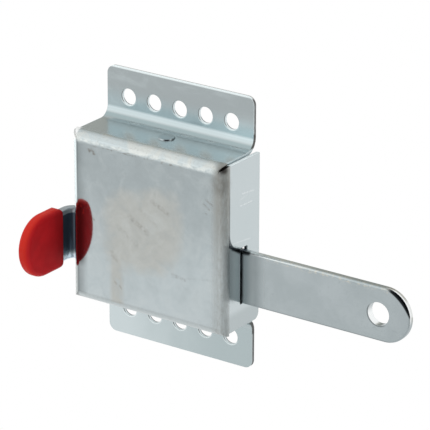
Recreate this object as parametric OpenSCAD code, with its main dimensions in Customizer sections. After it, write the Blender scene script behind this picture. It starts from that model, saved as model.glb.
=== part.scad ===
// Sliding deadlock for the inside of a sectional door.
// X is the way the bolt is thrown, +Y goes into the door, +Z is up.
// The origin lies on the mounting plane, at the middle of the screw holes.
// It is drawn locked, with the bolt thrown to the right.

/* [Case] */
// Width of the case over its two side walls
case_w = 76; // [72:1:110]
// Height of the case over its top and bottom walls
case_h = 73.4; // [68:0.2:110]
// Depth of the case from the mounting plane to the front face
case_d = 24.6; // [21:0.2:40]
// Thickness of the sheet that the case is folded from
sheet = 1.6; // [1:0.1:2.2]
// Inside radius of each fold round the front face
fold_r = 2.3; // [1.2:0.1:3]
// How far a side wall's edge stays below the top wall's outer face
side_drop = 1.1; // [0:0.1:1.5]
// Gap between the top wall's ends and the side walls
end_gap = 0.35; // [0.2:0.05:0.6]
// Rounding of the lower rear corner of each side wall
side_corner_r = 3; // [1:0.2:6]
// Width of the groove left open along the mitre of each upper front corner
groove_w = 1.1; // [0.6:0.1:1.6]

/* [Flanges] */
// Height of each flange above the wall it is folded from
flange_h = 21.7; // [18:0.1:40]
// Inside radius of the fold between a wall and its flange
flange_fold_r = 4.8; // [2:0.1:5.4]
// Rounding of the flange corners
flange_corner_r = 3.5; // [1:0.5:8]
// Number of screw holes in each flange
hole_count = 5; // [2:1:5]
// Distance from one screw hole to the next
hole_pitch = 12.7; // [9:0.1:14]
// Diameter of the screw holes
hole_d = 7.14; // [4:0.02:7.5]
// Height of the screw holes above the wall
hole_rise = 9.7; // [8:0.1:12]

/* [Bolt] */
// Width of the strip that the bolt is made from
bolt_w = 22.8; // [16:0.2:28]
// Thickness of the strip
bolt_t = 3.18; // [2:0.02:4]
// Rounding of the strip's long edges
edge_r = 0.8; // [0.3:0.1:0.9]
// Distance from the middle of the case down to the middle of the bolt
bolt_drop = 14; // [6:0.2:16]
// Distance from the mounting plane to the bolt's rear face
bolt_back = 9; // [8.4:0.2:11]
// How far the bolt stands out of the case when it is locked
throw_out = 78.9; // [66:0.1:110]
// Diameter of the padlock hole
padlock_d = 9.8; // [6:0.1:13]
// Distance from the bolt's tip to the middle of the padlock hole
padlock_in = 14.2; // [11:0.1:20]

/* [Slots] */
// Clearance under the bolt
slot_below = 0.15; // [0.1:0.05:0.5]
// Clearance over the bolt
slot_above = 1.3; // [0.5:0.1:2]
// Clearance in front of the bolt
slot_front = 1.1; // [0.3:0.1:1.6]
// Clearance behind the bolt
slot_rear = 0.8; // [0.3:0.1:1.6]
// Rounding of the slot corners
slot_r = 0.6; // [0.3:0.1:1]

/* [Thumb tab] */
// Straight length of the strip between the case and the tab's fold
neck = 6.1; // [1:0.1:10]
// Inside radius of the tab's fold
tab_fold_r = 3; // [1.5:0.1:5]
// Distance from the front face to the middle of the tab's round end
tab_reach = 5.9; // [4.5:0.1:15]

/* [Tab cover] */
// Thickness of the soft cover over the tab's edge
cover_rim = 1.9; // [1:0.1:3]
// Thickness of the soft cover over the tab's faces
cover_face = 1.1; // [1:0.1:2.5]
// Rounding of the cover's edges
cover_r = 2; // [1:0.1:3]
// Straight length of the tab left bare behind the cover
cover_bare = 4.5; // [0:0.1:7]
// Rounding of the cover's corners at its open end
cover_corner_r = 3; // [0.5:0.1:3.4]
// Play between the cover and the tab
cover_play = 0.03; // [0.01:0.01:0.1]

/* [Stop pin] */
// Diameter of the pin's shank
pin_d = 5; // [3:0.1:6]
// Diameter of the head that meets the side walls
pin_head_d = 8; // [6.5:0.1:10]
// Thickness of that head
pin_head_t = 2.2; // [1.5:0.1:3]
// Diameter of the riveted tail
pin_tail_d = 7; // [6.5:0.1:9]
// Thickness of the riveted tail
pin_tail_t = 1.4; // [1:0.1:2]
// Gap left between the head and a side wall at the end of the stroke
stop_gap = 0.4; // [0.3:0.05:1]
// Play between the shank and its hole
pin_play = 0.04; // [0.02:0.01:0.1]

/* [Detent spring] */
// Width of the spring strip
spring_w = 9; // [6:0.5:12]
// Thickness of the spring strip
spring_t = 0.6; // [0.4:0.05:0.8]
// Length of the foot that is riveted under the top wall
foot_len = 13; // [10:0.5:18]
// Inside radius of the bend at the foot
foot_r = 2.5; // [1.5:0.1:4]
// Inside radius of the nose that drops into the bolt's notch
nose_r = 1.6; // [1.2:0.1:2]
// Length of the raised tail beyond the nose
tail_len = 2; // [1:0.1:2.2]
// Depth of the notch in the bolt's upper edge
notch_depth = 1.2; // [0.8:0.1:1.3]
// Gap between the nose and the notch
nose_gap = 0.1; // [0.05:0.05:0.3]

/* [Spring rivet] */
// Diameter of the rivet's head on the top wall
rivet_head_d = 7; // [5:0.1:8.3]
// Height of the rivet's head
rivet_head_t = 0.5; // [0.4:0.1:1.5]
// Diameter of the rivet's shank
rivet_d = 3.2; // [2.4:0.1:4]
// Diameter of the rivet's tail under the spring
rivet_tail_d = 5.2; // [4.2:0.1:6]
// Height of the rivet's tail
rivet_tail_t = 1; // [0.6:0.1:1.5]
// Play between the rivet and its holes
rivet_play = 0.05; // [0.02:0.01:0.15]

/* [Hidden] */
$fn = 48;
lap = 0.5;
out_r = sheet + fold_r;
flange_out_r = sheet + flange_fold_r;
half_w = case_w / 2;
half_h = case_h / 2;
wall_w = case_w - 2 * sheet - 2 * end_gap;
front_y = -case_d;
fold_y = front_y + out_r;
side_top = half_h - side_drop;
flange_top = half_h + flange_h;
hole_z = half_h + hole_rise;
groove_in = 0.75 * sheet;

bolt_z = -bolt_drop;
bolt_y = -bolt_back - bolt_t / 2;
tip_x = half_w + throw_out;
tip_c = tip_x - bolt_w / 2;
padlock_x = tip_x - padlock_in;
edge_top = bolt_z + bolt_w / 2;
slot_h = bolt_w + slot_below + slot_above;
slot_w = bolt_t + slot_front + slot_rear;
slot_y = bolt_y + (slot_rear - slot_front) / 2;
slot_z = bolt_z + (slot_above - slot_below) / 2;

mid_r = tab_fold_r + bolt_t / 2;
fold_x = -half_w - neck;
blade_x = fold_x - mid_r;
blade_y = bolt_y - mid_r;
blade_c = front_y - tab_reach;

cover_half = bolt_w / 2 + cover_rim;
cover_t = bolt_t + 2 * cover_face;
rim_r = min(cover_r, 0.45 * cover_t);
cover_open = blade_y - cover_bare;

stroke = case_w - 2 * sheet - pin_head_d - 2 * stop_gap;
pin_x = stroke / 2;
notch_cut_r = nose_r + spring_t + nose_gap;
notch_z = edge_top - notch_depth + notch_cut_r;

foot_mid = half_h - sheet - spring_t / 2;
foot_c_r = foot_r + spring_t / 2;
nose_c_r = nose_r + spring_t / 2;
nose_x = -stroke / 2;
foot_x = -foot_len / 2;
foot_cz = foot_mid - foot_c_r;
reach_x = foot_x - nose_x;
reach_z = foot_cz - notch_z;
reach = sqrt(reach_x * reach_x + reach_z * reach_z);
lean = atan2(reach_z, reach_x) + asin((foot_c_r + nose_c_r) / reach);
tail_lift = 60;
bend_steps = 12;

module rounded(w, h, r) {
  square([w - 2 * r, h], center = true);
  square([w, h - 2 * r], center = true);
  for (sx = [-1, 1], sy = [-1, 1])
    translate([sx * (w / 2 - r), sy * (h / 2 - r)])
      circle(r = r);
}

// What a rounded corner leaves of its square, for cutting corners round.
module corner_waste(r) {
  difference() {
    square([r + 1, r + 1]);
    circle(r = r);
  }
}

// Turns a section drawn in Y and Z and extrudes it along X, about the middle.
module along_x(length) {
  rotate([90, 0, 90])
    translate([0, 0, -length / 2])
      linear_extrude(height = length)
        children();
}

// Turns an outline drawn in X and Z and extrudes it along Y, about the middle.
module along_y(length) {
  rotate([90, 0, 0])
    translate([0, 0, -length / 2])
      linear_extrude(height = length)
        children();
}

// Outline of two walls and the face between them, open at the mounting plane.
module hat(w, d, r, past) {
  translate([-w / 2, -d + r])
    square([w, d - r + past]);
  translate([-w / 2 + r, -d])
    square([w - 2 * r, d + past]);
  for (s = [-1, 1])
    translate([s * (w / 2 - r), -d + r])
      circle(r = r);
}

// Block whose four front edges are rolled to one radius and meet in mitres.
module rolled_block(w, h, d, r, past) {
  intersection() {
    translate([0, 0, -h / 2])
      linear_extrude(height = h)
        hat(w, d, r, past);
    rotate([0, 90, 0])
      translate([0, 0, -w / 2])
        linear_extrude(height = w)
          hat(h, d, r, past);
  }
}

// Section of the upper fold and the flange that rises from it.
module flange_section() {
  translate([-flange_out_r, half_h + flange_fold_r])
    intersection() {
      difference() {
        circle(r = flange_out_r);
        circle(r = flange_fold_r);
      }
      translate([0, -flange_out_r - 1])
        square([flange_out_r + 1, flange_out_r + 1]);
    }
  translate([-sheet, half_h + flange_fold_r])
    square([sheet, flange_h - flange_fold_r]);
}

module flange() {
  difference() {
    along_x(wall_w)
      flange_section();
    for (s = [0, 1])
      mirror([s, 0, 0])
        translate([wall_w / 2 - flange_corner_r, 0, flange_top - flange_corner_r])
          along_y(4 * sheet)
            corner_waste(flange_corner_r);
    for (i = [0 : hole_count - 1])
      translate([(i - (hole_count - 1) / 2) * hole_pitch, 0, hole_z])
        rotate([90, 0, 0])
          cylinder(h = 4 * sheet, d = hole_d, center = true);
  }
}

// Where one wall ends beside the next, behind the folds.
module wall_ends() {
  translate([wall_w / 2, fold_y, side_top])
    cube([case_w, case_d, case_h]);
  translate([wall_w / 2, fold_y, half_h - sheet - 1])
    cube([end_gap, case_d, case_h]);
}

// Two folds meet at their inner faces and leave a pointed groove outside.
module corner_groove() {
  difference() {
    translate([half_w - out_r, fold_y, half_h - out_r])
      rotate([90, 0, 0])
        rotate([0, 0, 45])
          linear_extrude(height = out_r + 1)
            polygon([
              [0.3 * out_r, 0],
              [0.8 * out_r, groove_w / 2],
              [3 * out_r, groove_w / 2],
              [3 * out_r, -groove_w / 2],
              [0.8 * out_r, -groove_w / 2]
            ]);
    rolled_block(case_w - 2 * groove_in, case_h - 2 * groove_in, case_d - groove_in, out_r - groove_in, lap);
  }
}

module case() {
  color([0.72, 0.76, 0.77]) {
    difference() {
      rolled_block(case_w, case_h, case_d, out_r, 0);
      rolled_block(case_w - 2 * sheet, case_h - 2 * sheet, case_d - sheet, fold_r, lap);
      for (sx = [0, 1], sz = [0, 1])
        mirror([sx, 0, 0])
          mirror([0, 0, sz])
            wall_ends();
      for (sx = [0, 1])
        mirror([sx, 0, 0])
          corner_groove();
      for (sz = [0, 1])
        mirror([0, 0, sz])
          translate([-half_w + sheet, -flange_out_r, half_h - sheet - lap])
            cube([case_w - 2 * sheet, case_d, case_h]);
      for (sx = [0, 1])
        mirror([sx, 0, 0])
          translate([half_w, 0, 0])
            rotate([90, 0, -90])
              translate([side_corner_r, -side_top + side_corner_r, -sheet])
                linear_extrude(height = 3 * sheet)
                  rotate([0, 0, 180])
                    corner_waste(side_corner_r);
      translate([0, slot_y, slot_z])
        along_x(case_w + 2)
          rounded(slot_w, slot_h, slot_r);
      translate([0, bolt_y, half_h])
        cylinder(h = 4 * sheet, d = rivet_d + 2 * rivet_play, center = true);
    }
    for (sz = [0, 1])
      mirror([0, 0, sz])
        flange();
  }
}

// Section of the strip, grown all round by the given play.
module strip_section(play) {
  rounded(bolt_t + 2 * play, bolt_w + 2 * play, edge_r + play);
}

// Half of a rounded section, to be turned into a round end.
module half_section(w, t, r) {
  translate([0, -t / 2])
    square([w / 2 - r, t]);
  translate([0, -t / 2 + r])
    square([w / 2, t - 2 * r]);
  for (s = [-1, 1])
    translate([w / 2 - r, s * (t / 2 - r)])
      circle(r = r);
}

// The tab's straight blade and its round end, in front of the fold.
module blade(play, start) {
  translate([blade_x, start, bolt_z])
    rotate([90, 0, 0])
      linear_extrude(height = start - blade_c)
        strip_section(play);
  translate([blade_x, blade_c, bolt_z])
    rotate([0, 90, 0])
      rotate([0, 0, 180])
        rotate_extrude(angle = 180)
          half_section(bolt_w + 2 * play, bolt_t + 2 * play, edge_r + play);
}

module bolt() {
  color([0.66, 0.70, 0.71])
    difference() {
      union() {
        translate([(fold_x + tip_c) / 2, bolt_y, bolt_z])
          along_x(tip_c - fold_x)
            strip_section(0);
        translate([tip_c, bolt_y, bolt_z])
          rotate([90, 0, 0])
            rotate([0, 0, -90])
              rotate_extrude(angle = 180)
                half_section(bolt_w, bolt_t, edge_r);
        translate([fold_x, blade_y, bolt_z])
          rotate([0, 0, 90])
            rotate_extrude(angle = 90)
              translate([mid_r, 0])
                strip_section(0);
        blade(0, blade_y);
      }
      translate([padlock_x, bolt_y, bolt_z])
        rotate([90, 0, 0])
          cylinder(h = 2 * bolt_t, d = padlock_d, center = true);
      translate([pin_x, bolt_y, bolt_z])
        rotate([90, 0, 0])
          cylinder(h = 2 * bolt_t, d = pin_d + 2 * pin_play, center = true);
      for (s = [-1, 1])
        translate([s * stroke / 2, bolt_y, notch_z])
          rotate([90, 0, 0])
            cylinder(h = 2 * bolt_t, r = notch_cut_r, center = true);
    }
}

module tab_cover() {
  color([0.72, 0.11, 0.10])
    difference() {
      union() {
        translate([blade_x, cover_open, bolt_z])
          rotate([90, 0, 0])
            linear_extrude(height = cover_open - blade_c)
              rounded(cover_t, 2 * cover_half, rim_r);
        translate([blade_x, blade_c, bolt_z])
          rotate([0, 90, 0])
            rotate([0, 0, 180])
              rotate_extrude(angle = 180)
                half_section(2 * cover_half, cover_t, rim_r);
      }
      blade(cover_play, cover_open + 1);
      for (s = [0, 1])
        translate([blade_x, cover_open - cover_corner_r, bolt_z])
          mirror([0, 0, s])
            translate([0, 0, cover_half - cover_corner_r])
              along_x(2 * cover_t)
                corner_waste(cover_corner_r);
    }
}

module stop_pin() {
  color([0.60, 0.63, 0.64])
    translate([pin_x, bolt_y, bolt_z])
      rotate([90, 0, 0]) {
        translate([0, 0, -bolt_t / 2])
          cylinder(h = bolt_t, d = pin_d);
        translate([0, 0, bolt_t / 2])
          cylinder(h = pin_head_t, d = pin_head_d);
        translate([0, 0, -bolt_t / 2 - pin_tail_t])
          cylinder(h = pin_tail_t, d1 = pin_tail_d - pin_tail_t, d2 = pin_tail_d);
      }
}

// Points along an arc in X and Z, from one angle to another.
function arc(x, z, r, from, to) = [
  for (i = [0 : bend_steps])
    let(a = from + (to - from) * i / bend_steps)
      [x + r * cos(a), z + r * sin(a)]
];

// One side of the spring strip: foot, upper bend, straight leg, nose and tail.
function strip_side(s) =
  let(
    upper = foot_c_r + s * spring_t / 2,
    lower = nose_c_r - s * spring_t / 2
  )
  concat(
    [[foot_x + foot_len, foot_cz + upper]],
    arc(foot_x, foot_cz, upper, 90, 90 + lean),
    arc(nose_x, notch_z, lower, lean - 90, -90 - tail_lift),
    [[
      nose_x - lower * sin(tail_lift) - tail_len * cos(tail_lift),
      notch_z - lower * cos(tail_lift) + tail_len * sin(tail_lift)
    ]]
  );

function backwards(points) = [for (i = [len(points) - 1 : -1 : 0]) points[i]];

module detent_spring() {
  color([0.45, 0.46, 0.48])
    difference() {
      translate([0, bolt_y, 0])
        along_y(spring_w)
          polygon(concat(strip_side(1), backwards(strip_side(-1))));
      translate([0, bolt_y, foot_mid])
        cylinder(h = 4 * spring_t, d = rivet_d + 2 * rivet_play, center = true);
    }
}

module spring_rivet() {
  color([0.70, 0.73, 0.74])
    translate([0, bolt_y, half_h]) {
      cylinder(h = rivet_head_t, d1 = rivet_head_d, d2 = rivet_head_d - rivet_head_t);
      translate([0, 0, -sheet - spring_t])
        cylinder(h = sheet + spring_t, d = rivet_d);
      translate([0, 0, -sheet - spring_t - rivet_tail_t])
        cylinder(h = rivet_tail_t, d1 = rivet_tail_d - rivet_tail_t, d2 = rivet_tail_d);
    }
}

case();
bolt();
tab_cover();
stop_pin();
detent_spring();
spring_rivet();
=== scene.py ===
# Looks of the sliding deadlock: zinc-plated case and bolt, red tab cover, studio and camera.
# Everything is in metres, in the frame of the solids: X bolt throw, +Y into the door, +Z up.
# The materials work in millimetres of the same frame.
import math
from functools import reduce
from operator import mul
import bmesh
import bpy
from mathutils import Matrix, Vector


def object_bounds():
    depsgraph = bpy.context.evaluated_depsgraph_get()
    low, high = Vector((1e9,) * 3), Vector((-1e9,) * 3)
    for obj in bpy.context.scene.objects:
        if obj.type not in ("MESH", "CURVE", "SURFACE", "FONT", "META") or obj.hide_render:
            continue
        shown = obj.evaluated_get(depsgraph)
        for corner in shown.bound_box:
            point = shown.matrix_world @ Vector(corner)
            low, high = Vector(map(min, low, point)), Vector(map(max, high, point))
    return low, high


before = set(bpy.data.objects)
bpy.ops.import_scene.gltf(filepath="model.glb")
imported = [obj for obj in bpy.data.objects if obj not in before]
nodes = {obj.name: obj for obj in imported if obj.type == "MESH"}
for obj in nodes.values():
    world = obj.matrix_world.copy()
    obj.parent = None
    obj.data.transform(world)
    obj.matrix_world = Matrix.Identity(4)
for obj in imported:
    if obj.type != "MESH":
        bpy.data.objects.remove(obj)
cadBounds = [list(corner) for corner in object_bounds()]
mm = 0.001
noiseMiddle = 0.5  # noises run from 0 to 1 and swing round this
print("frame loaded:", ", ".join(sorted(nodes)))


class Wire:
    # one socket, so that shader maths reads as plain sums
    def __init__(self, graph, socket):
        self.graph = graph
        self.socket = socket

    def math(self, operation, first, second=0.0):
        return self.graph.add("ShaderNodeMath", {"operation": operation}, {0: first, 1: second})

    def __add__(self, other):
        return self.math("ADD", self, other)

    def __radd__(self, other):
        return self.math("ADD", other, self)

    def __sub__(self, other):
        return self.math("SUBTRACT", self, other)

    def __rsub__(self, other):
        return self.math("SUBTRACT", other, self)

    def __mul__(self, other):
        return self.math("MULTIPLY", self, other)

    def __rmul__(self, other):
        return self.math("MULTIPLY", other, self)

    def __truediv__(self, other):
        return self.math("DIVIDE", self, other)

    def __rtruediv__(self, other):
        return self.math("DIVIDE", other, self)

    def least(self, other):
        return self.math("MINIMUM", self, other)

    def most(self, other):
        return self.math("MAXIMUM", self, other)

    def size(self):
        return self.math("ABSOLUTE", self)

    def root(self):
        return self.math("SQRT", self)

    # how far a noise is above its middle
    def swing(self):
        return self - noiseMiddle

    # 0 at low and 1 at high, smooth between; low may be the larger of the two
    def step(self, low, high, start=0.0, end=1.0):
        return self.graph.add("ShaderNodeMapRange", {"interpolation_type": "SMOOTHSTEP"},
                              {0: self, 1: low, 2: high, 3: start, 4: end})


class Graph:
    # the node tree of one material or of the world
    def __init__(self, owner):
        owner.use_nodes = True
        self.tree = owner.node_tree
        self.tree.nodes.clear()

    def add(self, kind, settings=None, inputs=None, output=0):
        node = self.tree.nodes.new(kind)
        for name, value in (settings or {}).items():
            setattr(node, name, value)
        for key, value in (inputs or {}).items():
            if isinstance(value, Wire):
                self.tree.links.new(value.socket, node.inputs[key])
            else:
                node.inputs[key].default_value = value
        return Wire(self, node.outputs[output] if node.outputs else None)

    def vector(self, operation, first, second=(0, 0, 0), output=0):
        return self.add("ShaderNodeVectorMath", {"operation": operation}, {0: first, 1: second}, output)

    def scale(self, vector, amount):
        return self.add("ShaderNodeVectorMath", {"operation": "SCALE"}, {0: vector, 3: amount})

    def dot(self, first, second):
        return self.vector("DOT_PRODUCT", first, second, output=1)

    def length(self, vector):
        return self.vector("LENGTH", vector, output=1)

    def distance(self, first, second):
        return self.vector("DISTANCE", first, second, output=1)

    def mix(self, factor, first, second):
        return self.add("ShaderNodeMix", {"data_type": "RGBA"}, {0: factor, 6: colour(first), 7: colour(second)}, 2)

    def parts(self, vector):
        return [self.add("ShaderNodeSeparateXYZ", {}, {0: vector}, output=i) for i in range(3)]

    # where a point lies on the piece, in millimetres
    def place(self):
        return self.scale(self.add("ShaderNodeTexCoord", output=3), 1.0 / mm)

    # a shader normal with its sharp edges rounded off, leant by a vector, and with a height in millimetres over it
    def relief(self, height, soften, lean=None):
        rounded = self.add("ShaderNodeBevel", {"samples": 6}, {"Radius": soften * mm})
        if lean is not None:
            rounded = self.vector("NORMALIZE", self.vector("ADD", rounded, lean))
        return self.add("ShaderNodeBump", {}, {"Height": height * mm, "Distance": 1.0, "Strength": 1.0,
                                               "Normal": rounded})

    # the closing nodes of a piece's material
    def coatWith(self, tone, roughness, normal, **more):
        inputs = {"Base Color": tone, "Roughness": roughness, "Normal": normal, **more}
        self.show(self.add("ShaderNodeBsdfPrincipled", {}, inputs))

    def show(self, shader, kind="ShaderNodeOutputMaterial"):
        self.add(kind, {}, {"Surface": shader})


class Surface:
    # the places, directions and noises that the finish of one piece is worked out from
    fullSpot, fullStroke = 0.3, 0.2  # how much of the reach of a spot and of the width of a stroke is full

    def __init__(self, graph, noises):
        self.graph = graph
        self.where = graph.place()
        self.x, self.y, self.z = graph.parts(self.where)
        self.wide, self.tall = self.x.size(), self.z.size()
        self.aimX, self.aimY, self.aimZ = graph.parts(graph.add("ShaderNodeTexCoord", output=1))
        self.faceX, self.faceY, self.faceZ = self.aimX.size(), self.aimY.size(), self.aimZ.size()
        for name, settings in noises.items():
            setattr(self, name, self.noise(**settings))

    def noise(self, scale, detail=3.0, rough=0.55, warp=0.0, stretch=None, output=0):
        where = self.where if stretch is None else self.graph.vector("MULTIPLY", self.where, stretch)
        return self.graph.add("ShaderNodeTexNoise", {}, {"Vector": where, "Scale": scale, "Detail": detail,
                                                         "Roughness": rough, "Distortion": warp}, output)

    # 1 inside all limits and 0 outside; a limit is a name, the value where it begins and the one where it is full,
    # or the name of a mask alone
    def zone(self, *limits):
        return reduce(mul, [getattr(self, name).step(*edges) if edges else getattr(self, name)
                            for name, *edges in limits])

    # lays coats of tone over one another, each in its zone, broken up by its wear (a noise, the middle that it
    # swings round and how far) and thinned to its share
    def cover(self, tone, *coats):
        for coat in coats:
            share = self.zone(*coat["zone"])
            if "wear" in coat:
                noise, middle, reach = coat["wear"]
                share = share * (getattr(self, noise).swing() * reach + middle)
            if "share" in coat:
                share = share * coat["share"]
            tone = self.graph.mix(share, tone, coat["tone"])
        return tone

    # lighter where a noise is high and darker where it is low
    def mottle(self, tone, noise, look):
        tone = self.graph.mix(noise.swing().most(0.0) * look["lightShare"], tone, look["light"])
        return self.graph.mix(noise.swing().least(0.0) * -look["darkShare"], tone, look["dark"])

    # a spot: 1 in its middle, 0 past its reach
    def spot(self, middle, reach):
        return self.graph.distance(self.where, middle).step(reach * self.fullSpot, reach, 1.0, 0.0)

    # a scratch or rub between two points: the shade of the mark along its middle, 0 past its width
    def stroke(self, mark, where=None):
        g = self.graph
        along = Vector(mark["to"]) - Vector(mark["from"])
        offset = g.vector("SUBTRACT", where or self.where, mark["from"])
        share = (g.dot(offset, tuple(along)) / along.length_squared).most(0.0).least(1.0)
        gap = g.length(g.vector("SUBTRACT", offset, g.scale(tuple(along), share)))
        return gap.step(mark["width"] * self.fullStroke, mark["width"], 1.0, 0.0) * mark["shade"]


def colour(value):
    return value if isinstance(value, Wire) else (*value, 1.0)


def newMaterial(name):
    material = bpy.data.materials.new(name)
    return material, Graph(material)


def dress(node, material):
    nodes[node].data.materials.clear()
    nodes[node].data.materials.append(material)


# Case: bright zinc, duller where it has been handled, with painted brown-grey reflections on the folds.
# These sizes of the solids, in millimetres, say where its finishes lie.
halfWidth, halfHeight, depth, foldReach, sheet = 38.0, 36.7, 24.6, 3.9, 1.6
foldX, foldY, foldZ = halfWidth - foldReach, foldReach - depth, halfHeight - foldReach  # where the folds begin
flangeTop, holeZ, holePitch, holeR = 58.4, 46.4, 12.7, 3.57
ahead = ("y", foldY + 1.5, foldY - 0.5)  # the front face and the folds round it
onFace = ("y", 0.3 - depth, 0.02 - depth)
onRightWall = [("faceX", 0.6, 0.9), ("x", 0.0, 1.0)]
onTopFold = [("z", foldZ - 0.5, foldZ + 0.8), ahead]
onRightFold = [("x", foldX - 3.5, foldX + 1.0), ("y", foldY + 0.6, foldY - 0.4)]
inRow = ("wide", 31.5, 31.0)  # as far out as the row of holes
plain = (1.0, 1.0, 1.0)
zincLook = {
    "tone": (0.380, 0.428, 0.440), "pale": (0.430, 0.478, 0.492), "dark": (0.30, 0.34, 0.355),
    "roughness": 0.17, "edgeSoftness": 0.2,
}
rustAndShadeTone = (0.045, 0.036, 0.030)
slotShadeTone = (0.010, 0.019, 0.027)
foldBrownGrey = (0.330, 0.335, 0.315)
cornerShadeTone = (0.045, 0.040, 0.036)
streakTone = (0.500, 0.560, 0.570)
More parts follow.
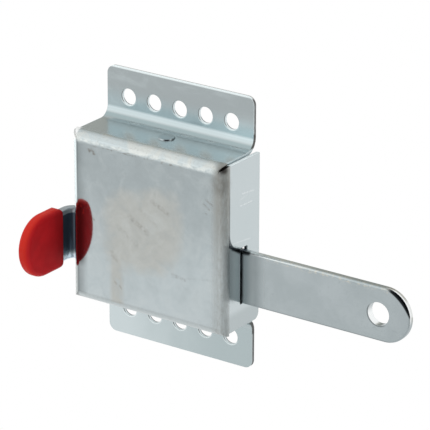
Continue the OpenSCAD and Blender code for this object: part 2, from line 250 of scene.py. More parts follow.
caseLook = {
    "clean": (0.552, 0.610, 0.624),
    "haze": (0.45, 0.53, 0.56),
    "hazeShare": 0.5,
    "roughness": 0.15,
    "roughShares": {"cloud": 0.05, "patches": 0.12, "rightFold": 0.21, "topFold": 0.08, "smoothMargin": -0.11,
                    "cut": 0.4, "grime": 0.5, "scratched": 0.25, "shoulder": 0.06},
    "smoothMargin": [("x", -22.0, -27.0), onFace],
    "shoulder": [("faceZ", 0.9, 1.0), ("z", halfHeight - 0.1, halfHeight - 0.02)],
    "cutMetal": 0.8,
    "edgeSoftness": 0.25,
    "swellHeight": 0.05,
    "scratchDepth": 0.03,
    "noises": {
        "cloud": {"scale": 0.035, "detail": 4.0, "rough": 0.6, "warp": 0.4},
        "patch": {"scale": 0.11, "detail": 4.0, "rough": 0.6, "warp": 0.8},
        "speckle": {"scale": 0.3, "detail": 5.0, "rough": 0.7},
        "fine": {"scale": 0.9, "rough": 0.65},
        "brushed": {"scale": 0.22, "detail": 4.0, "rough": 0.6, "stretch": (0.25, 1.0, 1.0)},
        "grain": {"scale": 1.3, "detail": 4.0, "rough": 0.7, "stretch": (1.0, 1.0, 0.3)},
        "crumb": {"scale": 0.9, "detail": 5.0, "rough": 0.7, "stretch": (0.5, 1.0, 1.0)},
        "pits": {"scale": 1.5, "detail": 4.0, "rough": 0.7},
        "dents": {"scale": 1.1, "detail": 4.0, "rough": 0.7},
        "swell": {"scale": 0.06, "detail": 2.0, "rough": 0.5},
        "drift": {"scale": 0.5, "rough": 0.5, "output": 1},
    },
    "face": {
        # painted reflection gradient over the face: lighter low down, darker high up
        "low": (0.500, 0.556, 0.572), "lowZ": -34.0,
        "high": (0.372, 0.418, 0.428), "highZ": 30.0, "wander": 40.0,
        "patch": {"light": (0.60, 0.64, 0.64), "lightShare": 1.1, "dark": (0.30, 0.34, 0.35), "darkShare": 0.9},
        "speckle": {"light": (0.62, 0.66, 0.66), "lightShare": 0.4, "dark": (0.24, 0.265, 0.265), "darkShare": 0.4},
    },
    "handled": {
        "tone": (0.466, 0.472, 0.444), "middle": (-1.8, 0.4), "half": (18.8, 18.2), "skew": 0.2,
        "wander": 2.0, "ragged": 1.6, "begins": -0.7, "full": 0.9, "share": 0.85,
        "trail": [("x", -19.5, -16.5), ("x", -10.5, -13.5), ("z", 2.0, -6.0), ("patch", 0.22, 0.45)],
    },
    "upperFlange": {
        "tone": (0.368, 0.410, 0.418), "starts": halfHeight + 2.6, "full": halfHeight + 5.2,
        "coats": [
            {"tone": streakTone, "share": 0.35, "zone": [("brushed", 0.5, 0.75)]},
            {"tone": streakTone, "share": 0.75, "zone": [("x", 8.0, 36.0), ("z", 53.0, 42.0)]},
            {"tone": streakTone, "share": 1.5, "zone": [("brightPatch",), ("x", 0.0, -20.0)]},
        ],
        "tint": (1.03, 1.12, 1.15), "tinted": ("z", 51.0, 43.0),
        "inCrease": ("tall", halfHeight + 0.05, halfHeight + 1.0),
        # painted shade in the creases where the flanges turn out of the walls
        "creases": [
            {"tone": (0.84, 0.86, 0.86), "zone": [("inCrease",), ("tall", 40.6, 40.0)]},
            {"tone": (0.62, 0.69, 0.70), "zone": [("inCrease",), ("tall", 38.9, 38.1)]},
        ],
    },
    "lowerFlange": {
        "left": (0.590, 0.660, 0.675), "leftX": -34.0,
        "right": (0.430, 0.500, 0.512), "rightX": 20.0, "wander": 30.0,
    },
    # the upper left corner, painted near-white and matt as a highlight
    "corner": [("x", -34.6, -35.6), ("z", foldZ, foldZ + 1.0), ahead],
    "rubs": {"lowZ": -12.0, "highZ": 24.0, "least": 0.35, "most": 0.85, "swing": 1.1},
    "pitting": {"top": 0.55, "right": 0.5},
    "underCrest": {"middle": -4.0, "begins": 26.0, "full": 16.0},
    "folds": [
        # painted brown-grey reflection on the right fold, stronger higher up and streaked by grain
        {"tone": foldBrownGrey, "zone": [("rubbed",)]},
        # painted highlight along the crest of the top fold
        {"tone": (0.82, 0.84, 0.81), "wear": ("crumb", 0.22, 1.6),
         "zone": [("z", foldZ - 0.9, foldZ + 0.1), ("z", foldZ + 1.5, foldZ + 0.5), ahead, ("x", 34.5, 28.5)]},
        # painted dark reflection low on the left fold
        {"tone": (0.14, 0.145, 0.14), "share": 0.72, "zone": [("x", -34.3, -35.2), ahead, ("z", -18.0, -23.0)]},
        {"tone": (0.20, 0.20, 0.18), "share": 0.6,
         "zone": [("z", foldZ - 1.6, foldZ - 1.1), ("z", foldZ + 0.1, foldZ - 0.4), ahead, ("crumb", 0.52, 0.6),
                  ("underCrest",)]},
        # painted highlight on the upper left corner
        {"tone": (0.90, 0.90, 0.89), "zone": [("corner",)]},
        {"tone": (0.66, 0.66, 0.62), "share": 0.6, "zone": [*onTopFold, ("patch", 0.4, 0.65)]},
        {"tone": (0.24, 0.235, 0.215), "zone": [("pits", 0.57, 0.70), ("pitted",)]},
        {"tone": foldBrownGrey, "wear": ("grain", 0.2, 0.8), "zone": [("z", 0.3 - foldZ, -0.6 - foldZ), ahead]},
    ],
    "edges": {
        "sheared": ("faceY", 0.6, 0.3),
        "side": [("wide", halfWidth - sheet - 0.15, halfWidth - sheet), ("y", foldY + 0.2, foldY + 0.8),
                 ("faceX", 0.6, 0.3)],
        "holeWall": [("flangeCut",), inRow, ("fromHole", holeR + 0.3, holeR + 0.1)],
        "holeLip": [("flangeFace",), inRow, ("fromHole", holeR + 0.6, holeR + 0.1), ("rise", -0.5, -2.5)],
        "lipShare": 0.7,
        "topLine": [("flangeFace",), ("z", flangeTop - 0.7, flangeTop - 0.3)],
        "lineShare": 0.8,
        "below": [("y", -0.6, -0.2), ("rise", -1.0, -2.2)],
        "beside": [("y", -1.0, -1.4), ("across", -2.0, -3.0)],
        "coats": [
            # painted pale highlight along the sheared edges, the hole lips and the flange tops
            {"tone": (0.840, 0.910, 0.920), "zone": [("paleEdge",)]},
            {"tone": (0.330, 0.310, 0.280), "share": 0.8,
             "zone": [("outerCut",), ("y", -0.7, -0.4), ("faceZ", 0.4, 0.8)]},
            {"tone": rustAndShadeTone, "wear": ("fine", 0.85, 0.5),
             "zone": [("outerCut",), ("x", halfWidth - 3.6, halfWidth - 2.6), ("y", -1.45, -1.15)]},
            {"tone": rustAndShadeTone, "share": 0.9,
             "zone": [("faceX", 0.6, 0.9), ("tall", halfHeight + 0.3, halfHeight + 1.0), ("wide", 35.5, 35.9),
                      ("tall", 43.5, 42.5)]},
            # painted shade on the lower and left walls of the holes
            {"tone": rustAndShadeTone, "share": 0.85, "zone": [("holeWall",), ("holeShade",)]},
        ],
        # the slot's walls, painted near-black as shade, lighter towards the outside
        "slotWall": [("wide", halfWidth - sheet + 0.02, halfWidth - sheet + 0.1),
                     ("wide", halfWidth - 0.02, halfWidth - 0.1),
                     ("y", -17.5, -16.5), ("y", -7.0, -7.5), ("z", -27.5, -26.5), ("z", -0.5, -0.9)],
        "slotOuter": ("wide", halfWidth - 0.75, halfWidth - 0.45),
        "slotOuterTone": (0.300, 0.350, 0.370),
    },
    "dirt": {
        "mitre": [("fromMitre", 1.0, 0.7), ("fromFold", foldReach - 0.1, foldReach - 0.3),
                  ("z", foldZ + 0.9, foldZ + 1.5), ahead, ("x", -1.0, 1.0)],
        "blot": {"middle": (36.6, -23.0, 34.6), "reach": 2.2},
        "smudges": [{"middle": (35.4, -23.6, 28.2), "reach": 6.0}, {"middle": (36.0, -23.2, 33.6), "reach": 3.8}],
        "coats": [
            # painted dark blot of shade at the upper right corner
            {"tone": cornerShadeTone, "share": 0.85, "zone": [("blot",)]},
            # painted shade in the corner groove
            {"tone": cornerShadeTone, "zone": [("grime",)]},
            {"tone": (0.07, 0.062, 0.050), "share": 0.28, "zone": [("smudge",), ("grain", 0.25, 0.5)]},
            {"tone": (0.10, 0.12, 0.12), "share": 0.22, "zone": [("faceX", 0.8, 0.95), ("z", -26.0, -30.0)]},
        ],
    },
    "mirrored": {
        "lineY": foldY - 0.2, "slope": 0.471, "rise": 7.7,
        "bendR": 5.0, "bendReach": 3.4, "straight": 0.42, "bent": 0.5,
        "coats": [
            # painted shadow line beside the fold, bending in over the bolt
            {"tone": slotShadeTone, "zone": [("fromLine", 0.75, 0.15), ("lineShare",), ("beside", -0.5, -0.1),
                                        ("above", -1.4, -0.6), ("z", 30.0, 18.0), *onRightWall]},
            # painted darker reflection over the band that mirrors the bolt
            {"tone": slotShadeTone, "share": 0.3,
             "zone": [("above", 0.2, -0.4), ("above", -25.0, -22.5), ("y", -13.0, -13.4), ("beside", 5.5, 0.5),
                      *onRightWall]},
            # painted dark reflection band along the mirrored bolt's top
            {"tone": slotShadeTone, "share": 0.9,
             "zone": [("above", 0.3, -0.2), ("above", -2.1, -1.2), ("beside", 0.6, 2.4), ("y", -13.1, -13.4),
                      *onRightWall]},
        ],
    },
    "margin": [
        # painted dark reflection along the left margin of the face
        {"tone": (0.08, 0.08, 0.08), "share": 0.8,
         "zone": [("x", -29.0, -33.5), onFace, ("z", 9.0, 4.0), ("z", -23.0, -18.0)]},
        {"tone": (0.20, 0.20, 0.20), "share": 0.25, "zone": [("x", -29.0, -33.5), onFace, ("z", -19.0, -24.0)]},
        # warm flecks painted as glints of the red cover's reflection
        {"tone": (0.80, 0.62, 0.46), "share": 0.8,
         "zone": [("fine", 0.58, 0.66), onFace, ("x", -26.0, -28.0), ("z", -4.0, 2.0), ("z", 7.0, 5.0)]},
    ],
    "wander": 1.6,
    "scuffTone": (0.16, 0.14, 0.115),
    "scuffGaps": ("fine", 0.3, 0.7),
    "scuffs": [
        {"from": (-8.1, -24.6, 5.4), "to": (0.3, -24.6, 0.4), "width": 1.8, "shade": 0.3},
        {"from": (2.9, -24.6, 14.3), "to": (10.8, -24.6, 10.9), "width": 1.5, "shade": 0.28},
        {"from": (-3.0, -24.6, 9.5), "to": (5.5, -24.6, 4.6), "width": 1.6, "shade": 0.14},
        {"from": (-13.0, -24.6, -1.0), "to": (-5.0, -24.6, -6.0), "width": 2.0, "shade": 0.14},
        {"from": (12.2, -24.6, -15.9), "to": (33.0, -24.6, -12.6), "width": 0.5, "shade": 0.12},
        {"from": (-28.9, -24.6, 29.9), "to": (-28.2, -24.6, 29.4), "width": 1.1, "shade": 0.8},
        {"from": (-26.9, -24.6, 29.9), "to": (-26.1, -24.6, 28.8), "width": 1.2, "shade": 0.85},
        {"from": (-15.9, -24.6, -24.8), "to": (-15.1, -24.6, -25.4), "width": 0.7, "shade": 0.6},
        {"from": (-13.7, -24.6, -26.2), "to": (-12.9, -24.6, -27.1), "width": 0.7, "shade": 0.55},
        {"from": (-26.7, -24.6, 0.5), "to": (-26.2, -24.6, 0.1), "width": 0.7, "shade": 0.9},
        {"from": (30.5, -24.6, 17.3), "to": (30.9, -24.6, 16.8), "width": 0.6, "shade": 0.5},
        {"from": (29.1, -24.6, 15.3), "to": (29.5, -24.6, 14.9), "width": 0.5, "shade": 0.45},
        {"from": (12.8, -24.6, -14.6), "to": (18.8, -24.6, -15.6), "width": 1.1, "shade": 0.34},
        {"from": (-17.4, -24.6, -12.2), "to": (-14.8, -24.6, -15.0), "width": 1.8, "shade": 0.22},
        {"from": (29.4, -24.6, 20.8), "to": (32.2, -24.6, 19.4), "width": 0.8, "shade": 0.45},
        {"from": (28.2, -24.6, 18.9), "to": (30.0, -24.6, 17.6), "width": 0.7, "shade": 0.4},
    ],
    "scratchTone": (0.80, 0.84, 0.85),
    "scratchGaps": ("fine", 0.3, 0.6),
    "scratches": [
        {"from": (38.0, -12.0, 21.7), "to": (38.0, -3.9, 20.8), "width": 0.5, "shade": 0.48},
        {"from": (38.0, -13.1, 16.9), "to": (38.0, -5.4, 16.6), "width": 0.5, "shade": 0.52},
        {"from": (38.0, -13.7, 19.5), "to": (38.0, -9.0, 20.2), "width": 0.4, "shade": 0.28},
        {"from": (38.0, -18.0, 2.2), "to": (38.0, -6.4, 1.0), "width": 0.5, "shade": 0.32},
    ],
    "lean": {"bowX": -20.0, "bowReach": 14.0, "bow": 0.0115,
             "sagZ": -2.0, "sagReach": 10.0, "sag": -0.0045, "sagZone": [("x", -23.0, -30.0), ("z", 17.0, 10.0)],
             "rollZone": ("z", foldZ - 1.6, foldZ + 0.2), "roll": 0.2, "forward": -0.010,
             "zone": [("faceY", 0.2, 0.9), ahead]},
}


# The front face: a painted reflection gradient, darker towards its top, with a warm handled patch and a trail below it.
def faceTone(g, look, s):
    face, handled = look["face"], look["handled"]
    tone = g.mix((s.z + s.cloud.swing() * face["wander"]).step(face["lowZ"], face["highZ"]), face["low"], face["high"])
    across = (s.x - handled["middle"][0]) / handled["half"][0]
    up = (s.z - handled["middle"][1] - s.x * handled["skew"]) / handled["half"][1]
    across, up = across * across, up * up
    ragged = s.cloud.swing() * handled["wander"] + s.patch.swing() * handled["ragged"]
    warm = (1.0 - (across * across + up * up) + ragged).step(handled["begins"], handled["full"])
    tone = g.mix(warm.most(s.zone(*handled["trail"])) * handled["share"], tone, handled["tone"])
    return s.mottle(s.mottle(tone, s.patch, face["patch"]), s.speckle, face["speckle"])


# The two flanges, with painted shade in the creases where they turn out of the walls.
def flangeTone(g, look, s, tone):
    upper, lower = look["upperFlange"], look["lowerFlange"]
    s.brightPatch = s.patch.swing().most(0.0)
    s.inCrease = s.zone(upper["inCrease"])
    raised = s.cover(upper["tone"], *upper["coats"])
    raised = g.vector("MULTIPLY", raised, g.mix(s.zone(upper["tinted"]), plain, upper["tint"]))
    tone = g.vector("MULTIPLY", g.mix(s.upper, tone, raised), s.cover(plain, *upper["creases"]))
    sides = (s.x + s.cloud.swing() * lower["wander"]).step(lower["leftX"], lower["rightX"])
    return g.mix(s.lower, tone, g.mix(sides, lower["left"], lower["right"]))


# The folds round the front face, with painted reflections and highlights on them, and pits.
def foldTone(g, look, s, tone):
    rubs, pitting, crest = look["rubs"], look["pitting"], look["underCrest"]
    # painted reflection on the right fold, stronger higher up
    risen = s.z.step(rubs["lowZ"], rubs["highZ"], rubs["least"], rubs["most"])
    s.rubbed = s.rightFold * (risen + s.grain.swing() * rubs["swing"])
    s.underCrest = (s.x - crest["middle"]).size().step(crest["begins"], crest["full"])
    s.pitted = (s.topFold * pitting["top"]).most(s.rightFold * pitting["right"])
    return s.cover(tone, *look["folds"])


# The sheared edges of the sheet: a painted pale highlight where the edge turns, dark where it broke away or rusts;
# painted shade in the holes and the slot.
def edgeTone(g, look, s, tone):
    edges = look["edges"]
    flange = s.upper.most(s.lower)
    s.flangeCut = flange * s.zone(edges["sheared"])
    s.flangeFace = (flange - s.flangeCut).most(0.0)
    s.across = s.x - g.add("ShaderNodeMath", {"operation": "ROUND"}, {0: s.x / holePitch}) * holePitch
    s.rise = s.z - g.add("ShaderNodeMath", {"operation": "SIGN"}, {0: s.z}) * holeZ
    s.fromHole = (s.across * s.across + s.rise * s.rise).root()
    s.cut = s.flangeCut.most(s.zone(*edges["side"]))
    lip, topLine = s.zone(*edges["holeLip"]) * edges["lipShare"], s.zone(*edges["topLine"]) * edges["lineShare"]
    s.paleEdge = s.cut.most(lip).most(topLine)
    s.holeWall = s.zone(*edges["holeWall"])
    s.outerCut = s.flangeCut * (1.0 - s.holeWall)
    # painted shade on the lower and left walls of the holes
    s.holeShade = s.zone(*edges["below"]).most(s.zone(*edges["beside"]))
    tone = s.cover(tone, *edges["coats"])
    return g.mix(s.zone(*edges["slotWall"]), tone, g.mix(s.zone(edges["slotOuter"]), slotShadeTone, edges["slotOuterTone"]))


# Painted shade in the groove of the upper right corner, a painted dark blot of shade beside it, brown-black smudges
# round it, and the side walls darker towards the bottom.
def cornerTone(g, look, s, tone):
    dirt = look["dirt"]
    s.fromMitre = (s.wide - s.z + (halfHeight - halfWidth)).size()
    inward = g.vector("SUBTRACT", g.vector("ABSOLUTE", s.where), (foldX, -foldY, foldZ))
    s.fromFold = g.length(g.vector("MULTIPLY", inward, (1.0, 1.0, 0.0)))
    s.grime = s.zone(*dirt["mitre"])
    s.blot = s.spot(**dirt["blot"])
    s.smudge = reduce(Wire.most, [s.spot(**place) for place in dirt["smudges"]])
    return s.cover(tone, *dirt["coats"])


# Painted shade and reflections on the right wall round the slot: a dark line beside the fold that bends in over the
# bolt, and the bolt's reflection.
def mirroredTone(g, look, s, tone):
    mirrored = look["mirrored"]
    s.beside = s.y - mirrored["lineY"]
    s.above = s.z + s.y * mirrored["slope"] + mirrored["rise"]
    bend = (mirrored["bendR"] - s.above).most(0.0).least(mirrored["bendR"]) / mirrored["bendR"]
    s.fromLine = s.beside - (1.0 - (1.0 - bend * bend).root()) * mirrored["bendReach"]
    s.lineShare = bend * mirrored["bent"] + mirrored["straight"]
    return s.cover(tone, *mirrored["coats"])


# The left margin, painted darker as a dim reflection and flecked with painted glints of the red cover, scuffs on the
# face and scratches on the right wall.
def markTone(g, look, s, tone):
    tone = s.cover(tone, *look["margin"])
    drift = g.scale(g.vector("SUBTRACT", s.drift, (noiseMiddle,) * 3), look["wander"])
    wavy = g.vector("ADD", s.where, drift)
    for mark in look["scuffs"]:
        tone = g.mix(s.stroke(mark, wavy) * s.zone(look["scuffGaps"]), tone, look["scuffTone"])
    s.scratched = reduce(Wire.most, [s.stroke(mark) for mark in look["scratches"]]) * s.zone(look["scratchGaps"])
    return g.mix(s.scratched, tone, look["scratchTone"])


def caseRoughness(look, s):
    s.patches = s.patch.swing().size() * s.front
    s.smoothMargin, s.shoulder = s.zone(*look["smoothMargin"]), s.zone(*look["shoulder"])
    rough = look["roughness"]
    for name, share in look["roughShares"].items():
        rough = rough + getattr(s, name) * share
    return rough


# The sheet isn't quite flat: its face bows back towards the left edge, sags a little and leans forward.
def caseLean(g, look, s):
    lean = look["lean"]
    bow = (lean["bowX"] - s.x).most(0.0).least(lean["bowReach"]) * lean["bow"]
    sag = (s.z - lean["sagZ"]).most(0.0).least(lean["sagReach"]) * s.zone(*lean["sagZone"]) * lean["sag"]
    roll = s.zone(lean["rollZone"]) * lean["roll"]
    turn = g.add("ShaderNodeCombineXYZ", {}, {0: bow * -1.0, 1: 0.0, 2: roll + sag + lean["forward"]})
    return g.scale(turn, s.zone(*lean["zone"]))


def caseMaterial(look):
    material, g = newMaterial("case_zinc")
    s = Surface(g, look["noises"])
    flange = look["upperFlange"]
    s.front = s.zone(onFace)
    s.upper = s.z.step(flange["starts"], flange["full"])
    s.lower = s.z.step(-flange["starts"], -flange["full"])
    s.rightFold, s.topFold, s.corner = s.zone(*onRightFold), s.zone(*onTopFold), s.zone(*look["corner"])
    tone = g.mix(s.front, look["clean"], faceTone(g, look, s))
    tone = g.mix(s.cloud.swing().size() * look["hazeShare"], tone, look["haze"])
    for layer in (flangeTone, foldTone, edgeTone, cornerTone, mirroredTone, markTone):
        tone = layer(g, look, s, tone)
    height = (s.swell + s.grain * s.rightFold + s.dents * s.topFold) * look["swellHeight"]
    normal = g.relief(height - s.scratched * look["scratchDepth"], look["edgeSoftness"], caseLean(g, look, s))
    g.coatWith(tone, caseRoughness(look, s), normal, Metallic=1.0 - s.cut.most(s.corner) * look["cutMetal"])
    return material


dress("case", caseMaterial(caseLook))
print("case dressed")


# Drawn steel: cloudy, with faint lengthwise lines and darker specks.
steelLook = {
    "noises": {
        "cloud": {"scale": 0.05, "detail": 4.0, "rough": 0.6, "warp": 0.3},
        "drawn": {"scale": 1.2, "detail": 4.0, "rough": 0.65, "stretch": (0.06, 1.0, 1.0)},
        "fine": {"scale": 0.8, "rough": 0.6},
        "crumb": {"scale": 1.1, "detail": 4.0, "rough": 0.7, "stretch": (0.5, 1.0, 1.0)},
    },
    "paler": [("cloud", 0.35, 0.7)],
    "lines": [("drawn", 0.55, 0.75)], "lineShare": 0.25,
    "specks": [("fine", 0.62, 0.75)], "speckShare": 0.35,
    "cloudRoughness": 0.05, "lineRoughness": 0.08,
    "lineHeight": 0.006, "cloudHeight": 0.02,
}


def drawnSteel(g, look, s):
    steel = steelLook
    tone = s.cover(look["tone"], {"tone": look["pale"], "zone": steel["paler"]},
                   {"tone": look["pale"], "zone": steel["lines"], "share": steel["lineShare"]},
                   {"tone": look["dark"], "zone": steel["specks"], "share": steel["speckShare"]})
    rough = look["roughness"] + s.cloud * steel["cloudRoughness"] + s.drawn.swing().size() * steel["lineRoughness"]
    height = s.drawn * steel["lineHeight"] + s.cloud * steel["cloudHeight"]
    return tone, rough, g.relief(height, look["edgeSoftness"])


def plainSteel(name, look):
    material, g = newMaterial(name)
    g.coatWith(*drawnSteel(g, look, Surface(g, steelLook["noises"])), Metallic=1.0)
    return material


# Bolt: the same zinc on a thicker strip, rougher where it leaves the slot. Its top edge has a painted highlight, its
# neck is painted dark as a reflection and its round end has a painted dark crescent of reflection inside a painted
# bright rim.
onNeck = ("x", -38.3, -38.6)
paintedDarkTone = (0.012, 0.014, 0.016)
paleHighlight = (0.82, 0.86, 0.86)
rimHighlight = (0.92, 0.94, 0.94)
lockHole, lockHoleR = (102.7, 0.0, -14.0), 4.9
crescent, crescentR = (99.4, 0.0, -21.1), 19.2
boltLook = {
    **zincLook,
    "strip": [
        # painted reflection of the side wall: a pale band just outside the slot
        {"tone": paleHighlight, "share": 0.22, "zone": [("x", 39.5, 42.5), ("x", 45.0, 43.0)]},
        # painted highlight along the bolt's top edge
        {"tone": paleHighlight, "wear": ("crumb", 0.75, 2.2),
         "zone": [("z", -3.4, -2.9), ("x", 40.5, 42.0), ("x", 95.0, 38.0)]},
        {"tone": (0.60, 0.575, 0.50), "share": 0.6,
         "zone": [("z", -4.9, -3.9), ("x", 44.0, 62.0), ("crumb", 0.50, 0.60)]},
        {"tone": zincLook["dark"], "zone": [("crumb", 0.60, 0.72), ("z", -6.0, -22.0, 0.1, 0.5), ("x", 41.0, 46.0)]},
        # painted highlight at the lower end of the neck
        {"tone": (0.78, 0.87, 0.98), "share": 0.8, "zone": [onNeck, ("z", -22.0, -24.0)]},
        # painted lighter grey on the neck's top edge, as a highlight
        {"tone": (0.36, 0.40, 0.43), "share": 0.8, "zone": [("neckTop",)]},
        # painted dark reflection on the neck and painted shade on the bolt inside the slot
        {"tone": (0.050, 0.075, 0.105), "zone": [("dirt",)]},
        {"tone": zincLook["dark"], "share": 0.35, "zone": [("x", 104.0, 117.0)]},
        # painted shade blot on the top edge by the slot
        {"tone": paintedDarkTone, "zone": [("blot",)]},
        # painted shade line along the bottom edge beside the slot
        {"tone": paintedDarkTone, "share": 0.45, "zone": [("z", -24.5, -25.1), ("x", 44.0, 50.0), ("faceY", 0.2, 0.5)]},
    ],
    "roundEnd": [
        # painted dark crescent of reflection on the round end
        {"tone": paintedDarkTone, "zone": [("fromCrescent", crescentR - 0.25, crescentR + 0.35), ("x", 105.0, 108.5),
                                     ("aimY", 0.0, -0.15)]},
        # painted highlight on the right rim of the padlock hole
        {"tone": rimHighlight, "zone": [("fromHole", lockHoleR + 0.12, lockHoleR + 0.02), ("aimX", 0.0, 0.3),
                                   ("z", -11.0, -15.5, 0.1, 0.95)]},
        # painted shade round the upper right of the padlock hole
        {"tone": paintedDarkTone, "share": 0.55, "zone": [("fromHole", lockHoleR + 0.75, lockHoleR + 0.3),
                                                    ("fromHole", lockHoleR, lockHoleR + 0.1), ("upRight", 0.5, -4.0)]},
    ],
    # where the bolt is painted dark: as shade inside the slot and as a reflection on the neck
    "inSlot": [("z", -3.6, -2.9), ("x", 39.5, 38.5), ("x", 32.0, 34.0)],
    "neck": [onNeck, ("z", -4.5, -5.2), ("z", -23.8, -20.6), ("inner", 0.1, 0.4)],
    "neckTop": [onNeck, ("z", -5.2, -4.6)],
    "neckMatt": 0.6,
    "blot": {"from": (38.0, -12.0, -3.3), "to": (41.0, -12.0, -3.0), "width": 1.5, "shade": 0.95},
    # the round end's edge, painted as a bright highlight rim, duller at the back
    "rim": [("faceY", 0.55, 0.25), ("x", 104.5, 107.5), ("z", -17.0, -12.0)],
    "rimBackShade": (0.44, 0.44, 0.40),
    "frontRim": ("y", -10.4, -11.0),
    "rightRim": [("z", -5.5, -7.5), ("z", -13.5, -12.0)], "rightRimShare": 0.7,
    "rubbed": [("x", 52.0, 44.0), ("x", 37.0, 39.0)], "rubbedRoughness": 0.2,
}


def boltMaterial(look):
    material, g = newMaterial("bolt_zinc")
    s = Surface(g, steelLook["noises"])
    tone, rough, normal = drawnSteel(g, look, s)
    s.inner = s.aimX.most(s.aimY * -1.0)
    s.dirt = s.zone(*look["inSlot"]).most(s.zone(*look["neck"]))
    s.neckTop = s.zone(*look["neckTop"])
    s.blot = s.stroke(look["blot"])
    nearRim = s.zone(look["frontRim"]).most(s.zone(*look["rightRim"]) * look["rightRimShare"])
    flat = g.vector("MULTIPLY", s.where, (1.0, 0.0, 1.0))
    s.fromHole, s.fromCrescent = g.distance(flat, lockHole), g.distance(flat, crescent)
    s.upRight = s.x + s.z - sum(lockHole)  # how far it lies up and to the right of the hole's middle
    tone = s.cover(tone, *look["strip"])
    tone = g.mix(s.zone(*look["rim"]), tone, g.mix(nearRim, look["rimBackShade"], rimHighlight))
    tone = s.cover(tone, *look["roundEnd"])
    rough = rough + s.zone(*look["rubbed"]) * look["rubbedRoughness"]
    g.coatWith(tone, rough, normal, Metallic=1.0 - (s.dirt + s.neckTop) * look["neckMatt"])
    return material


dress("bolt", boltMaterial(boltLook))
for piece in ("stop_pin", "spring_rivet"):
    dress(piece, plainSteel(piece + "_zinc", zincLook))
print("bolt dressed")

# Detent spring: bare tempered steel, out of sight under the top wall.
springLook = {
    "tone": (0.20, 0.205, 0.215), "pale": (0.27, 0.28, 0.29), "dark": (0.12, 0.12, 0.13),
    "roughness": 0.3, "edgeSoftness": 0.1,
}
dress("detent_spring", plainSteel("spring_steel", springLook))
print("spring dressed")


# Tab cover: soft dipped vinyl, with a painted orange highlight along its rim and painted shade low on its back.
tipY, middleZ, coverHalf = -30.5, -14.0, 13.3  # where its round end starts, its middle and its half height
coverLook = {
    "tone": (0.560, 0.013, 0.018),
    "noises": {
        "cloud": {"scale": 0.12, "rough": 0.5},
        "skin": {"scale": 1.6, "detail": 2.0, "rough": 0.5},
        "swell": {"scale": 0.15, "detail": 2.0, "rough": 0.5},
    },
    "rim": ("outward", coverHalf - 3.0, coverHalf + 0.2), "rimGuard": 0.7,
    "coats": [
        {"tone": (0.470, 0.010, 0.014), "zone": [("cloud", 0.35, 0.7)]},
        {"tone": (0.550, 0.009, 0.012), "share": 0.8, "zone": [("rim",)]},
        # painted orange highlight along the outer rim
        {"tone": (0.800, 0.060, 0.010), "share": 0.25, "zone": [("outward", coverHalf - 0.9, coverHalf + 0.1)]},
        # painted shade on the lower back of the cover, off its rim
        {"tone": (0.120, 0.005, 0.006), "share": 0.42, "zone": [("y", -33.0, -21.0), ("z", -26.0, -19.0), ("offRim",)]},
    ],
    "roughness": 0.42, "cloudRoughness": 0.08,
    "edgeSoftness": 0.3, "skinHeight": 0.02, "swellHeight": 0.15,
    "settings": {"IOR": 1.45, "Specular IOR Level": 0.12},
}


def coverMaterial(look):
    material, g = newMaterial("tab_vinyl")
    s = Surface(g, look["noises"])
    far = 1.0 / mm
    shortened = g.vector("MINIMUM", s.where, (far, tipY, far))
    outward = g.vector("SUBTRACT", shortened, (0.0, tipY, middleZ))
    s.outward = g.length(g.vector("MULTIPLY", outward, (0.0, 1.0, 1.0)))
    s.rim = s.zone(look["rim"])
    s.offRim = 1.0 - s.rim * look["rimGuard"]
    tone = s.cover(look["tone"], *look["coats"])
    rough = look["roughness"] + s.cloud * look["cloudRoughness"]
    normal = g.relief(s.skin * look["skinHeight"] + s.swell * look["swellHeight"], look["edgeSoftness"])
    g.coatWith(tone, rough, normal, **look["settings"])
    return material


dress("tab_cover", coverMaterial(coverLook))
print("tab cover dressed")


# Studio: white all round, with drapes and a soft lamp placed by compass angle from the front
# (positive to the right) and height, in degrees.
studioLook = {
    "room": (0.80, 0.82, 0.83),
    "drapes": [
        {"turn": -115, "height": 54, "reach": 16, "soft": 16, "tone": (0.80, 0.81, 0.80)},
        {"turn": -145, "height": 28, "reach": 15, "soft": 12, "tone": (0.50, 0.50, 0.465)},
        {"turn": -60, "height": 50, "reach": 12, "soft": 20, "tone": (1.10, 1.11, 1.10)},
        {"turn": -40, "height": 13, "reach": 12, "soft": 16, "tone": (1.40, 1.42, 1.42)},
        {"turn": -108, "height": -22, "reach": 18, "soft": 10, "tone": (1.50, 1.52, 1.52)},
        {"turn": -68, "height": -23, "reach": 7, "soft": 9, "tone": (0.60, 0.61, 0.61)},
        {"turn": 72, "height": -20, "reach": 18, "soft": 34, "tone": (0.68, 0.69, 0.69)},
        {"turn": 38, "height": 34, "reach": 28, "soft": 10, "tone": (0.03, 0.03, 0.035)},
    ],
    "drapeDistance": 3.0, "drapeEdge": 0.02,
    "floorDrop": 0.25,
    "floorReach": 0.45,
    "floorTone": (0.86, 0.86, 0.86),
    "floorGlow": 0.6,
    "lamp": {"turn": -70, "height": 55, "distance": 1.6, "size": 0.9, "power": 6.0},
}


def heading(turn, height):
    turn, height = math.radians(turn), math.radians(height)
    return Vector((math.sin(turn) * math.cos(height), -math.cos(turn) * math.cos(height), math.sin(height)))


# 1 for rays that should meet the plain white background: straight from the camera, or by way of the piece
def seenRays(g):
    rays = ("Is Camera Ray", "Is Glossy Ray", "Is Transmission Ray")
    return reduce(Wire.most, [g.add("ShaderNodeLightPath", output=ray) for ray in rays])


def glow(g, tone, kind="ShaderNodeEmission"):
    return g.add(kind, {}, {"Color": colour(tone), "Strength": 1.0})


def buildWorld(look):
    world = bpy.data.worlds.new("studio")
    bpy.context.scene.world = world
    g = Graph(world)
    light = g.mix(seenRays(g), look["room"], plain)
    g.show(glow(g, light, "ShaderNodeBackground"), "ShaderNodeOutputWorld")


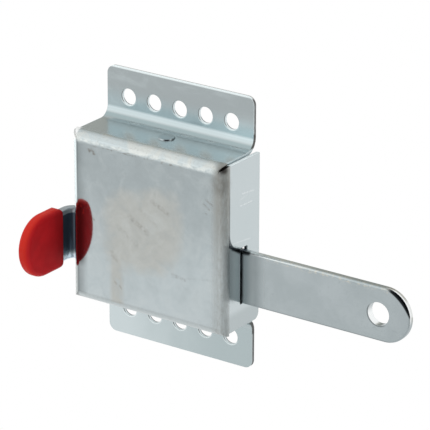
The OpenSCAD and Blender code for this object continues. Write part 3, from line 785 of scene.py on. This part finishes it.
def addStage(name, form, material):
    mesh = bpy.data.meshes.new(name)
    form.to_mesh(mesh)
    form.free()
    mesh.materials.append(material)
    thing = bpy.data.objects.new(name, mesh)
    bpy.context.scene.collection.objects.link(thing)
    return thing


def buildFloor(look):
    material, g = newMaterial("floor_pale")
    matt = g.add("ShaderNodeBsdfDiffuse", {}, {"Color": colour(look["floorTone"])})
    share = seenRays(g) * look["floorGlow"]
    g.show(g.add("ShaderNodeMixShader", {}, {0: share, 1: matt, 2: glow(g, plain)}))
    form = bmesh.new()
    bmesh.ops.create_circle(form, cap_ends=True, segments=96, radius=look["floorReach"])
    addStage("floor", form, material).location = (0, 0, cadBounds[0][2] - look["floorDrop"])


# One round shell carries all the drapes and is clear between them.
def buildDrapes(look):
    material, g = newMaterial("drapes")
    facing = g.vector("NORMALIZE", g.place())
    tone, shares = plain, []
    for drape in look["drapes"]:
        nearness = g.dot(facing, tuple(heading(drape["turn"], drape["height"])))
        outer = math.cos(math.radians(drape["reach"] + drape["soft"]))
        inner = math.cos(math.radians(drape["reach"]))
        shares.append(nearness.step(outer, inner))
        tone = g.mix(shares[-1], tone, drape["tone"])
    clear = g.add("ShaderNodeBsdfTransparent")
    cover = reduce(Wire.most, shares).step(0.0, look["drapeEdge"])
    g.show(g.add("ShaderNodeMixShader", {}, {0: cover, 1: clear, 2: glow(g, tone)}))
    form = bmesh.new()
    bmesh.ops.create_icosphere(form, subdivisions=4, radius=look["drapeDistance"])
    shell = addStage("drapes", form, material)
    shell.visible_camera = False
    shell.visible_diffuse = False
    shell.visible_shadow = False


def buildLamp(look):
    data = bpy.data.lights.new("softbox", "AREA")
    data.shape = "DISK"
    data.size = look["size"]
    data.energy = look["power"]
    lamp = bpy.data.objects.new("softbox", data)
    bpy.context.scene.collection.objects.link(lamp)
    back = heading(look["turn"], look["height"])
    lamp.matrix_world = Matrix.Translation(back * look["distance"]) @ back.to_track_quat("Z", "Y").to_matrix().to_4x4()
    lamp.visible_glossy = False


buildWorld(studioLook)
buildFloor(studioLook)
buildDrapes(studioLook)
buildLamp(studioLook["lamp"])
print("studio lit")


# Camera: where it stands as seen from the frame's origin, which way it looks, and its lens. Angles are in degrees.
cameraLook = {
    "turn": 35.575, "height": 21.255, "distance": 1.35216,
    "aimTurn": 34.964, "aimHeight": 21.243, "roll": 0.2155,
    "focalPixels": 3322.17, "imagePixels": 430, "sensorWidth": 36.0,
    "clipStart": 0.1, "clipEnd": 20.0,
}


def buildCamera(look):
    data = bpy.data.cameras.new("camera")
    camera = bpy.data.objects.new("camera", data)
    bpy.context.scene.collection.objects.link(camera)
    data.sensor_width = look["sensorWidth"]
    data.lens = look["focalPixels"] / look["imagePixels"] * data.sensor_width
    data.clip_start = look["clipStart"]
    data.clip_end = look["clipEnd"]
    back = heading(look["aimTurn"], look["aimHeight"])
    turn = math.radians(look["aimTurn"])
    side = Vector((math.cos(turn), math.sin(turn), 0.0))
    up = back.cross(side)
    roll = math.radians(look["roll"])
    side, up = side * math.cos(roll) + up * math.sin(roll), up * math.cos(roll) - side * math.sin(roll)
    stand = Matrix.Translation(heading(look["turn"], look["height"]) * look["distance"])
    camera.matrix_world = stand @ Matrix((side, up, back)).transposed().to_4x4()
    bpy.context.scene.camera = camera


buildCamera(cameraLook)
bpy.context.scene.view_settings.view_transform = "Standard"
print("camera set")
